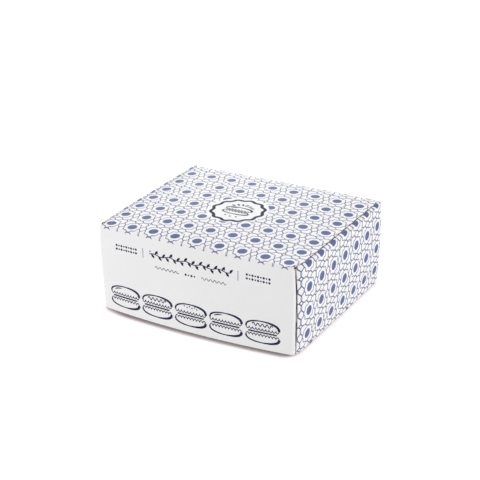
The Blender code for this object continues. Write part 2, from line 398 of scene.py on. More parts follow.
@dataclass
class Graph:
    """Adds and links the nodes of one tree."""

    tree: NodeTree

    def node(self, kind: str, values: dict | None = None, **settings: object) -> Node:
        """Add a node.

        Args:
            kind: Blender's type name of the node, without its "ShaderNode".
            values: Inputs by name or number, each a constant or a socket to link.
            settings: Properties of the node.

        Returns:
            The node.
        """
        made = self.tree.nodes.new(f"ShaderNode{kind}")
        for setting, value in settings.items():
            setattr(made, setting, value)
        for key, value in (values or {}).items():
            self.feed(made.inputs[key], value)
        return made

    def feed(self, socket: Socket, value: object) -> None:
        """Link a socket to an input, or set the input to a constant.

        Args:
            socket: The input.
            value: A socket or a constant.
        """
        if isinstance(value, Socket):
            self.tree.links.new(value, socket)
        else:
            socket.default_value = value

    def math(self, operation: str, *values: Value) -> Socket:
        """Work out a number from one, two or three others."""
        return self.node("Math", dict(enumerate(values)), operation=operation).outputs[0]

    def ramp(self, value: Value, low: float, high: float, start: float = 0.0, end: float = 1.0) -> Socket:
        """Ease a number from one range to another."""
        values = {"Value": value, "From Min": low, "From Max": high, "To Min": start, "To Max": end}
        return self.node("MapRange", values, interpolation_type="SMOOTHSTEP").outputs["Result"]

    def noise(self, place: Socket, scale: float, detail: float = 3.0) -> Socket:
        """Cloudy variation from 0 to 1, with scale clouds to a metre."""
        values = {"Vector": place, "Scale": scale, "Detail": detail, "Roughness": 0.55}
        return self.node("TexNoise", values).outputs[0]

    def mix(self, share: Value, *paints: Colour | Socket) -> Socket:
        """Blend two colours, by how much of the second shows."""
        first, second = (paint if isinstance(paint, Socket) else (*paint, 1.0) for paint in paints)
        return self.node("Mix", {0: share, 6: first, 7: second}, data_type="RGBA").outputs[2]

    def parts(self, vector: Socket) -> Sequence[Socket]:
        """The three numbers of a vector."""
        return self.node("SeparateXYZ", {0: vector}).outputs


def group_tree(name: str, inputs: dict[str, float | None], *outputs: str) -> Graph:
    """Start a shader node group.

    Args:
        name: Name of the group.
        inputs: Default of each input number, and None for a vector.
        outputs: Names of the numbers that it gives.

    Returns:
        The group's graph, with its nodes "in" and "out".
    """
    tree = bpy.data.node_groups.new(name, "ShaderNodeTree")
    for label, default in inputs.items():
        kind = "NodeSocketVector" if default is None else "NodeSocketFloat"
        made = tree.interface.new_socket(label, in_out="INPUT", socket_type=kind)
        if default is not None:
            made.default_value = default
    for label in outputs:
        tree.interface.new_socket(label, in_out="OUTPUT", socket_type="NodeSocketFloat")
    tree.nodes.new("NodeGroupInput").name = "in"
    tree.nodes.new("NodeGroupOutput").name = "out"
    return Graph(tree)


@dataclass(frozen=True)
class TilePrint:
    """Blue tile lattice. Its motifs are sized in tiles, measured from the dot in a tile's middle."""

    pitch: float = 20.0 * MM
    lobes: float = 8.0
    dot_radius: float = 0.194
    dot_lobes: float = 0.0045
    ring_radius: float = 0.3485
    ring_lobes: float = 0.026
    lens_half_width: float = 0.137
    lens_half_length: float = 0.203
    diamond_half: float = 0.098
    strand_gap: float = 0.026
    line_width: float = 0.041
    wall_line_width: float = 0.047
    ring_share: float = 0.85
    strand_share: float = 0.58
    softness: float = 0.006

    def build(self) -> NodeTree:
        """Make the shader group.

        Returns:
            Group from print coordinates to a mask of dots and a mask of lines.
        """
        graph = group_tree("tile print", {"Print": None, "Line Width": self.line_width}, "Dots", "Lines")
        source, out = graph.tree.nodes["in"].outputs, graph.tree.nodes["out"].inputs
        parts = graph.parts(source["Print"])
        across, along = (self._from_dot(graph, parts[axis]) for axis in range(2))
        near = graph.math("MINIMUM", across, along)
        to_boundary = graph.math("SUBTRACT", 0.5, graph.math("MAXIMUM", across, along))
        squares = (graph.math("MULTIPLY", distance, distance) for distance in (across, along))
        reach = graph.math("SQRT", graph.math("ADD", *squares))
        turn = graph.math("ARCTAN2", along, across)
        lobes = graph.math("COSINE", graph.math("MULTIPLY", turn, self.lobes))
        lines = self._ring(graph, reach, lobes)
        for distance in (
            self._lens(graph, to_boundary, near),
            self._diamond(graph, across, along),
            self._strands(graph, to_boundary, near),
        ):
            lines = graph.math("MINIMUM", lines, distance)
        over = graph.math("SUBTRACT", lines, graph.math("MULTIPLY", source["Line Width"], 0.5))
        rim = graph.math("MULTIPLY_ADD", lobes, self.dot_lobes, self.dot_radius)
        outside = graph.math("SUBTRACT", reach, rim)
        for name, distance in (("Lines", over), ("Dots", outside)):
            graph.feed(out[name], graph.ramp(distance, -self.softness, self.softness, 1.0, 0.0))
        return graph.tree

    def _from_dot(self, graph: Graph, coordinate: Socket) -> Socket:
        """Distance to the nearest dot's middle along one axis."""
        turn = graph.math("FRACT", graph.math("ADD", coordinate, 0.5))
        return graph.math("ABSOLUTE", graph.math("SUBTRACT", turn, 0.5))

    def _ring(self, graph: Graph, reach: Socket, lobes: Socket) -> Socket:
        """Distance to the lobed ring round the dot, stretched so that the ring is drawn finer.

        Args:
            graph: The group's graph.
            reach: Distance from the dot's middle.
            lobes: Wave round the dot, from -1 to 1.

        Returns:
            Distance to the ring's line.
        """
        radius = graph.math("MULTIPLY_ADD", lobes, self.ring_lobes, self.ring_radius)
        distance = graph.math("ABSOLUTE", graph.math("SUBTRACT", reach, radius))
        return graph.math("DIVIDE", distance, self.ring_share)

    def _lens(self, graph: Graph, to_boundary: Socket, near: Socket) -> Socket:
        """Distance to the outline of the long cell between two neighbouring dots.

        Args:
            graph: The group's graph.
            to_boundary: Distance to the nearer edge of the tile.
            near: Distance from the middle of that edge.

        Returns:
            Distance to the cell's outline.
        """
        side = graph.math("SUBTRACT", to_boundary, self.lens_half_width)
        slant = graph.math("SUBTRACT", graph.math("ADD", to_boundary, near), self.lens_half_length)
        slant = graph.math("MULTIPLY", slant, math.sqrt(0.5))
        return graph.math("ABSOLUTE", graph.math("MAXIMUM", side, slant))

    def _diamond(self, graph: Graph, across: Socket, along: Socket) -> Socket:
        """Distance to the outline of the small diamond on the tile's corner.

        Args:
            graph: The group's graph.
            across: Distance from the dot along the first axis.
            along: The same along the second axis.

        Returns:
            Distance to the diamond's outline.
        """
        from_corner = graph.math("SUBTRACT", 1.0, graph.math("ADD", across, along))
        over = graph.math("SUBTRACT", from_corner, self.diamond_half)
        return graph.math("ABSOLUTE", graph.math("MULTIPLY", over, math.sqrt(0.5)))

    def _strands(self, graph: Graph, to_boundary: Socket, near: Socket) -> Socket:
        """Distance to the two strands that tie a lens to a diamond.

        Args:
            graph: The group's graph.
            to_boundary: Distance to the nearer edge of the tile.
            near: Distance from the middle of that edge.

        Returns:
            Distance to the nearer strand, large outside its stretch.
        """
        start, end = self.lens_half_length, 0.5 - self.diamond_half
        share = graph.math("DIVIDE", graph.math("SUBTRACT", near, start), (end - start) / math.pi)
        bow = graph.math("MULTIPLY", graph.math("SINE", share), self.strand_gap)
        beside = graph.math("ABSOLUTE", graph.math("SUBTRACT", to_boundary, bow))
        before = graph.math("SUBTRACT", start, near)
        after = graph.math("SUBTRACT", near, end)
        distance = graph.math("MAXIMUM", beside, graph.math("MAXIMUM", before, after))
        return graph.math("DIVIDE", distance, self.strand_share)


@dataclass(frozen=True)
class BoardRelief:
    """Faint ridges of the fluting under the paper, with the paper's own tooth."""

    flute_pitch: float = 3.3 * MM
    flute_share: float = 0.6
    patch_scale: float = 45.0
    grain_scale: float = 2600.0

    def build(self) -> NodeTree:
        """Make the shader group.

        Returns:
            Group from a place and the distance across the flutes to a height from 0 to 1.
        """
        graph = group_tree("board relief", {"Place": None, "Across Flutes": 0.0}, "Height")
        source = graph.tree.nodes["in"].outputs
        turn = graph.math("MULTIPLY", source["Across Flutes"], 2.0 * math.pi / self.flute_pitch)
        wave = graph.math("MULTIPLY_ADD", graph.math("SINE", turn), 0.5, 0.5)
        ridges = graph.math("MULTIPLY", wave, graph.noise(source["Place"], self.patch_scale, 2.0))
        grain = graph.noise(source["Place"], self.grain_scale, 2.0)
        rest = graph.math("MULTIPLY", grain, 1.0 - self.flute_share)
        height = graph.math("MULTIPLY_ADD", ridges, self.flute_share, rest)
        graph.feed(graph.tree.nodes["out"].inputs["Height"], height)
        return graph.tree


@dataclass(frozen=True)
class PaperTone:
    """Slight cloudiness and handling marks of coated paper."""

    amount: float = 0.6
    cloud_scale: float = 22.0
    fibre_scale: float = 900.0
    rub_scale: float = 60.0
    gloss_range: float = 0.16

    def build(self) -> NodeTree:
        """Make the shader group.

        Returns:
            Group from a place to a shade from 0 to 1 and a roughness to add.
        """
        graph = group_tree("paper tone", {"Place": None}, "Shade", "Gloss Change")
        place, out = graph.tree.nodes["in"].outputs["Place"], graph.tree.nodes["out"].inputs
        clouds = graph.math("MULTIPLY", graph.noise(place, self.cloud_scale, 4.0), 0.55)
        both = graph.math("MULTIPLY_ADD", graph.noise(place, self.fibre_scale), 0.45, clouds)
        graph.feed(out["Shade"], graph.math("MULTIPLY", graph.ramp(both, 0.35, 0.75), self.amount))
        rubbed = graph.noise(place, self.rub_scale)
        change = graph.math("MULTIPLY_ADD", rubbed, self.gloss_range, -self.gloss_range / 2)
        graph.feed(out["Gloss Change"], change)
        return graph.tree


class Finish(Graph):
    """Material in the making, with its shader and the place on its piece."""

    def __init__(self, name: str) -> None:
        """Start a material.

        Args:
            name: Name of the finish.
        """
        self.material = bpy.data.materials.new(name)
        self.material.use_nodes = True
        super().__init__(self.material.node_tree)
        self.shader = self.tree.nodes["Principled BSDF"].inputs
        self.place = self.node("TexCoord").outputs["Object"]

    def unrolled(self) -> Socket:
        """Print coordinates of the unrolled sheet."""
        return self.node("UVMap", uv_map=PRINT_MAP).outputs[0]

    def roughen(self, roughness: Value, height: Socket, depth: float) -> None:
        """Set the roughness and the bump.

        Args:
            roughness: The shader's roughness.
            height: Height of the relief, from 0 to 1.
            depth: Depth of the relief in metres.
        """
        bump = self.node("Bump", {"Height": height, "Distance": depth, "Strength": 1.0})
        self.feed(self.shader["Normal"], bump.outputs["Normal"])
        self.feed(self.shader["Roughness"], roughness)

    def coloured(self, colour: Socket) -> Material:
        """Set the colour and give the material."""
        self.feed(self.shader["Base Color"], colour)
        return self.material


@dataclass
class Palette:
    """Builds every finish of the carton, with the shader groups that they share."""

    tile: TilePrint = field(default_factory=TilePrint)
    paper: Colour = (0.857, 0.856, 0.862)
    paper_shade: Colour = (0.806, 0.802, 0.806)
    inner: Colour = (0.74, 0.71, 0.66)
    wall_inside: Colour = (0.80, 0.79, 0.77)
    underside: Colour = (0.84, 0.83, 0.81)
    liner: Colour = (0.80, 0.75, 0.67)
    dot_ink: Colour = (0.049, 0.079, 0.266)
    line_ink: Colour = (0.041, 0.041, 0.180)
    text_ink: Colour = (0.010, 0.011, 0.040)
    kraft: Colour = (0.30, 0.205, 0.125)
    kraft_dark: Colour = (0.13, 0.085, 0.055)
    # Seam colours are painted shade of the gap at an upright corner: shaded liner patches, near-black gap
    # shadow and paler ends.
    seam_painted_shaded_liner: Colour = (0.46, 0.42, 0.37)
    seam_painted_gap_shadow: Colour = (0.06, 0.052, 0.045)
    seam_painted_lit_end: Colour = (0.60, 0.56, 0.50)
    printed_relief: float = 0.05 * MM
    plain_relief: float = 0.08 * MM
    # Dashes on the lid's cut edges, painted near-black: the print's lines together with the painted
    # shadow of the gap.
    ink_and_shadow_dashes: tuple[Point, Point] = ((-50.1 * MM, 3.0 * MM), (-60.8 * MM, 1.3 * MM))  # middle, reach

    def __post_init__(self) -> None:
        """Build the shared groups."""
        self.print_group = self.tile.build()
        self.relief_group = BoardRelief().build()
        self.tone_group = PaperTone().build()

    def _paper(self, finish: Finish, across_flutes: Socket, relief: float) -> Socket:
        """Give a finish the tooth and sheen of coated paper.

        Args:
            finish: The finish.
            across_flutes: Distance across the board's flutes.
            relief: Depth of the relief in metres.

        Returns:
            The paper's colour.
        """
        tone = finish.node("Group", {"Place": finish.place}, node_tree=self.tone_group).outputs
        values = {"Place": finish.place, "Across Flutes": across_flutes}
        board = finish.node("Group", values, node_tree=self.relief_group).outputs
        finish.roughen(finish.math("ADD", tone["Gloss Change"], 0.56), board["Height"], relief)
        finish.shader["Specular IOR Level"].default_value = 0.18
        return finish.mix(tone["Shade"], self.paper, self.paper_shade)

    def _printed(self, finish: Finish, axis: int, allowed: Value, line_width: float) -> Material:
        """Lay the tile print over coated paper.

        Args:
            finish: The finish.
            axis: Print coordinate that runs across the flutes.
            allowed: Where the print is laid, from 0 to 1.
            line_width: Width of its lines, in tiles.

        Returns:
            The material.
        """
        coordinates = finish.unrolled()
        across_flutes = finish.math("MULTIPLY", finish.parts(coordinates)[axis], self.tile.pitch)
        paper = self._paper(finish, across_flutes, self.printed_relief)
        values = {"Print": coordinates, "Line Width": line_width}
        masks = finish.node("Group", values, node_tree=self.print_group).outputs
        wear = finish.ramp(finish.noise(finish.place, 1500.0), 0.2, 0.8, 0.86, 1.0)
        cover = finish.math("MULTIPLY", wear, allowed)
        lines, dots = (finish.math("MULTIPLY", masks[name], cover) for name in ("Lines", "Dots"))
        return finish.coloured(finish.mix(dots, finish.mix(lines, paper, self.line_ink), self.dot_ink))

    def printed_cover(self, print_start: float, seal: Point, seal_radius: float) -> Material:
        """Coated paper of the cover board: white at the front, tiles on the lid and the back.

        Args:
            print_start: Print coordinate along the board where the tiles start.
            seal: Print coordinates of the round seal's middle.
            seal_radius: Radius of the bare disc under the seal, in tiles.

        Returns:
            The material.
        """
        finish = Finish("printed_cover_paper")
        coordinates = finish.unrolled()
        from_start = finish.math("SUBTRACT", finish.parts(coordinates)[1], print_start)
        values = {0: coordinates, 1: (*seal, 0.0)}
        offset = finish.node("VectorMath", values, operation="DISTANCE").outputs["Value"]
        outside = finish.ramp(offset, seal_radius - 0.005, seal_radius + 0.005)
        allowed = finish.math("MULTIPLY", finish.ramp(from_start, -0.004, 0.004), outside)
        return self._printed(finish, 1, allowed, self.tile.line_width)

    def printed_wall(self) -> Material:
        """Coated paper of a side wall, tiled all over."""
        return self._printed(Finish("printed_wall_paper"), 0, 1.0, self.tile.wall_line_width)

    def plain_paper(self, name: str, colour: Colour, ink_and_shadow_dashed: bool = False) -> Material:
        """Bare paper of a board's hidden face, or of its liners' cut edge.

        Args:
            name: Name of the finish.
            colour: The paper's colour.
            ink_and_shadow_dashed: Whether near-black dashes of the print's ink, which also paint the
                gap's shadow, run over it.

        Returns:
            The material.
        """
        finish = Finish(name)
        paper = self._paper(finish, finish.parts(finish.place)[1], self.plain_relief)
        tint = tuple(part / white for part, white in zip(colour, self.paper))
        bare = finish.node("VectorMath", {0: paper, 1: tint}, operation="MULTIPLY").outputs[0]
        return finish.coloured(self._paint_ink_and_shadow_dashes(finish, bare) if ink_and_shadow_dashed else bare)

    def _paint_ink_and_shadow_dashes(self, finish: Finish, bare: Socket) -> Socket:
        """Paint near-black dashes on a cut edge where the print's dots and strands run over it. They
        stand for print ink seen in the gap's shadow.

        Args:
            finish: The finish.
            bare: The edge's own colour.

        Returns:
            The edge's colour with the stains.
        """
        depth = finish.parts(finish.place)[1]
        pitch, fade = self.tile.pitch, 0.5 * MM
        marks = []
        for middle, reach in self.ink_and_shadow_dashes:
            turned = finish.math("DIVIDE", finish.math("SUBTRACT", depth, middle - 4.5 * pitch), pitch)
            near = finish.math("ABSOLUTE", finish.math("SUBTRACT", finish.math("FRACT", turned), 0.5))
            marks.append(finish.ramp(near, (reach - fade) / pitch, (reach + fade) / pitch, 1.0, 0.0))
        # Print ink darkened to near-black: partly print, partly painted gap shadow.
        return finish.mix(finish.math("MAXIMUM", *marks), bare, self.text_ink)

    def raw_board(self, name: str) -> Material:
        """Brown fluting at a cut edge, streaked along the board's fibres.

        Args:
            name: Name of the finish.

        Returns:
            The material.
        """
        finish = Finish(name)
        fine = finish.noise(finish.place, 3200.0)
        coarse = finish.math("MULTIPLY", finish.noise(finish.place, 520.0, 4.0), 0.6)
        both = finish.math("MULTIPLY_ADD", fine, 0.4, coarse)
        finish.roughen(finish.ramp(fine, 0.2, 0.8, 0.80, 0.95), both, 0.15 * MM)
        return finish.coloured(finish.mix(finish.ramp(both, 0.30, 0.72), self.kraft_dark, self.kraft))

    def seam_with_painted_shade(self, name: str) -> Material:
        """End of a folded board in the seam at an upright corner, with the seam's shadow painted on:
        near-black with paler patches, and painted palest at top and foot.

        Args:
            name: Name of the finish.

        Returns:
            The material.
        """
        finish = Finish(name)
        height = finish.parts(finish.place)[2]
        patches = finish.ramp(finish.noise(finish.place, 150.0), 0.38, 0.62)
        # Painted lighter at foot and top, with less painted shadow there.
        foot = finish.ramp(height, 4.0 * MM, 16.0 * MM, 1.0, 0.0)
        ends = finish.math("MAXIMUM", foot, finish.ramp(height, 62.0 * MM, 70.0 * MM))
        finish.roughen(finish.ramp(patches, 0.0, 1.0, 0.80, 0.92), patches, 0.12 * MM)
        # Painted gap shadow: near-black with paler patches of shaded liner.
        patchy_painted_shade = finish.mix(patches, self.seam_painted_gap_shadow, self.seam_painted_shaded_liner)
        return finish.coloured(finish.mix(ends, patchy_painted_shade, self.seam_painted_lit_end))

    def ink(self) -> Material:
        """Near-black blue ink of the drawn motifs, a little uneven where it sank in.

        Returns:
            The material.
        """
        finish = Finish("dark_ink")
        cloud = finish.ramp(finish.noise(finish.place, 700.0, 4.0), 0.25, 0.8)
        lighter = tuple(part * 1.9 + 0.004 for part in self.text_ink)
        finish.feed(finish.shader["Roughness"], finish.ramp(cloud, 0.0, 1.0, 0.56, 0.66))
        finish.shader["Specular IOR Level"].default_value = 0.12
        return finish.coloured(finish.mix(cloud, self.text_ink, lighter))


@dataclass(frozen=True)
class BoardRow:
    """Row of the cover board's sheet."""

    y: float
    z: float
    length: float  # along the unrolled sheet
    upright: float  # share of the panels' upright folds, 1 on a panel and 0 on the lid


@dataclass(frozen=True)
class BoardColumn:
    """Column of the cover board's sheet."""

    side: Side
    share: float  # of the flat half
    turn: float  # round the upright fold
    ear: float = 0.0  # behind it


@dataclass
class CoverBoard:
    """Front panel, lid and back panel, folded from one sheet of board."""

    form: CartonForm
    palette: Palette
    front_rows: int = 26
    fold_rows: int = 8
    lid_rows: int = 56
    back_rows: int = 8
    panel_columns: int = 72
    fold_columns: int = 6
    ear_length: float = 0.6 * MM
    first_dot_y: float = -64.8 * MM
    print_margin: float = 0.65 * MM
    seal: Point = (-0.3 * MM, -2.1 * MM)
    bare: Point = (-0.8 * MM, -1.2 * MM)  # middle of the disc that the tiles leave bare
    bare_disc: float = 25.2 * MM
    liner: float = 0.52 * MM
    groove: float = 0.90 * MM

    def stations(self) -> list[BoardRow]:
        """Rows of the sheet from the foot of the front to the foot of the back.

        Returns:
            The rows, before crown and bulge.
        """
        form = self.form
        radius, hinge = form.crease_radius, form.hinge_radius
        crease_z, hinge_z = form.crease_z, form.lid_height - hinge
        flat_start, flat_end = form.front_y + radius, form.back_y - hinge
        rows = []
        for z in spread(form.foot_z, crease_z, self.front_rows)[:-1]:
            rows.append(BoardRow(form.front_y, z, flat_start - radius * QUARTER - (crease_z - z), 1.0))
        for turn in spread(0.0, QUARTER, self.fold_rows):
            y = form.front_y + radius * (1.0 - math.cos(turn))
            z = crease_z + radius * math.sin(turn)
            rows.append(BoardRow(y, z, flat_start - radius * (QUARTER - turn), math.cos(turn)))
        for y in spread(flat_start, flat_end, self.lid_rows)[1:-1]:
            rows.append(BoardRow(y, form.lid_height, y, 0.0))
        for turn in spread(0.0, QUARTER, self.fold_rows):
            y = flat_end + hinge * math.sin(turn)
            z = hinge_z + hinge * math.cos(turn)
            rows.append(BoardRow(y, z, flat_end + hinge * turn, math.sin(turn)))
        for z in spread(hinge_z, form.foot_z, self.back_rows)[1:]:
            rows.append(BoardRow(form.back_y, z, flat_end + hinge * QUARTER + hinge_z - z, 1.0))
        return rows

    def columns(self) -> list[BoardColumn]:
        """Columns of the sheet.

        Returns:
            The columns from left to right.
        """
        half = self.panel_columns // 2
        turns = spread(0.0, QUARTER, self.fold_columns)[1:]
        folds = [(turn, 0.0) for turn in turns] + [(QUARTER, self.ear_length)]
        right = [BoardColumn(Side.RIGHT, 1.0, turn, ear) for turn, ear in folds]
        left = [BoardColumn(Side.LEFT, 1.0, turn, ear) for turn, ear in reversed(folds)]
        middle = []
        for i in range(-half, half + 1):
            share = math.sin(QUARTER * i / half)
            middle.append(BoardColumn(Side.RIGHT if share > 0.0 else Side.LEFT, abs(share), 0.0))
        return left + middle + right

    def place(self, row: BoardRow, column: BoardColumn) -> tuple[Vector, float]:
        """Work out one point of the sheet.

        The upright folds run on over the crease and the hinge, and fade out on the lid.

        Args:
            row: Its row.
            column: Its column.

        Returns:
            The point and its place across the unrolled sheet.
        """
        form = self.form
        side, radius = column.side.value, form.fold_radius
        flat = form.panel_flat + form.bow(row.z)
        across = column.share * flat + radius * column.turn
        on_lid = side * form.lid_edge(row.y, column.side) * across / (flat + radius * QUARTER)
        on_panel = form.panel_shift + side * (column.share * flat + radius * math.sin(column.turn))
        x = on_lid + (on_panel - on_lid) * row.upright
        inward = (radius * (1.0 - math.cos(column.turn)) + column.ear) * row.upright
        unrolled = form.panel_shift + side * (across + column.ear)
        unrolled = on_lid + (unrolled - on_lid) * row.upright
        y = row.y - inward
        if row.y <= 0.0:
            y = row.y - form.bulge(x, row.z) * row.upright + inward
        return Vector((x, y, row.z + form.crown(x, row.y))), unrolled

    def build(self) -> None:
        """Fold the sheet, give it its thickness and open the fluting at its cut edges."""
        pitch = self.palette.tile.pitch
        rows, columns = self.stations(), self.columns()
        places, prints = [], []
        for row in rows:
            points = [self.place(row, column) for column in columns]
            places.append([point for point, _ in points])
            along = (row.length - self.first_dot_y) / pitch
            prints.append([(across / pitch, along) for _, across in points])

        def beside_lid(row: int, column: int) -> bool:
            """Whether a cell would be an ear of the lid, which has none."""
            ear = max(columns[column].ear, columns[column + 1].ear) > 0.0
            return ear and min(rows[row].upright, rows[row + 1].upright) < 1.0

        board = shaped_grid("cover_sheet", places, prints, beside_lid)
        self._dress(board)
        solidify(board, self.form.board, inner_slot=1, rim_slot=2)
        self._open_fluting(board)
        for vertex in board.data.vertices:
            vertex.co.z = max(vertex.co.z, self.form.foot_z)
        smooth(board, 35.0)
        self.form.to_frame(board)
        settle(board, "printed_board", "cover_board")

    def _dress(self, board: Object) -> None:
        """Give the sheet its papers: outside, inside, the liners' cut edges and the fluting.

        Args:
            board: The sheet.
        """
        form, palette = self.form, self.palette
        pitch = palette.tile.pitch
        crease_length = form.front_y + form.crease_radius * (1.0 - QUARTER)
        print_start = (crease_length - self.print_margin - self.first_dot_y) / pitch
        bare = (self.bare[0] / pitch, (self.bare[1] - self.first_dot_y) / pitch)
        dress(
            board,
            palette.printed_cover(print_start, bare, self.bare_disc / pitch),
            palette.plain_paper("inner_liner", palette.inner),
            palette.plain_paper("liner_edge", palette.liner, ink_and_shadow_dashed=True),
            palette.raw_board("cover_fluting"),
        )

    def _open_fluting(self, board: Object) -> None:
        """Show the liners at the lid's edges and the feet, and sink the fluting beside the lid.

        Args:
            board: The board, with its cut faces in slot 2 and its fluting's finish in slot 3.
        """
        crease_z = self.form.crease_z

        def liners_show(face: Face) -> bool:
            """Whether a cut face is beside the lid or under a panel, not on a hidden ear."""
            return face.material_index == 2 and (face.center.z > crease_z or face.normal.z < -0.7)

        def part_liners() -> None:
            """Set the liners off from the fluting."""
            bpy.ops.mesh.inset(thickness=self.liner, depth=0.0, use_even_offset=False)
            board.active_material_index = 3
            bpy.ops.object.material_slot_assign()

        for face in board.data.polygons:
            if face.material_index == 2 and not liners_show(face):
                face.material_index = 3
        select_faces(board, liners_show)
        in_edit_mode(board, part_liners)
        select_faces(board, lambda face: face.material_index == 3 and face.center.z > crease_z)
        sink = {"thickness": 0.02 * MM, "depth": -self.groove, "use_even_offset": False}
        in_edit_mode(board, lambda: bpy.ops.mesh.inset(**sink))


@dataclass(frozen=True)
class WallForm:
    """Outside of a side wall from the middle of the base, at mid-depth and at its two ends.

    Each place has the wall's foot, its lean, its belly and the flare of its top.
    """

    middle: Outline
    front_end: Outline
    back_end: Outline
    front_power: float  # how squarely the wall turns towards its front end
    back_power: float
    roll_top: float
    roll_gap: float  # between the roll and the lid's cut edge
    top_dots: float  # length up the unrolled wall at which its top row of dots lies
    print_rise: float  # climb of the print towards the back


WALL_FORMS = {
    Side.RIGHT: WallForm(
        middle=(88.75 * MM, 2.5 * MM, 1.9 * MM, 1.3 * MM),
        front_end=(87.4 * MM, 0.7 * MM, 0.9 * MM, 0.0),
        back_end=(89.0 * MM, 2.3 * MM, 1.2 * MM, 0.0),
        front_power=16.0,
        back_power=6.0,
        roll_top=72.98 * MM,
        roll_gap=0.25 * MM,
        top_dots=73.6 * MM,
        print_rise=0.015,
    ),
    Side.LEFT: WallForm(
        middle=(86.6 * MM, 1.7 * MM, 1.5 * MM, 1.1 * MM),
        front_end=(86.4 * MM, 0.9 * MM, 0.5 * MM, 0.0),
        back_end=(87.0 * MM, 2.3 * MM, 1.2 * MM, 0.0),
        front_power=3.0,
        back_power=2.0,
        roll_top=74.0 * MM,
        roll_gap=0.1 * MM,
        top_dots=73.3 * MM,
        print_rise=0.004,
    ),
}


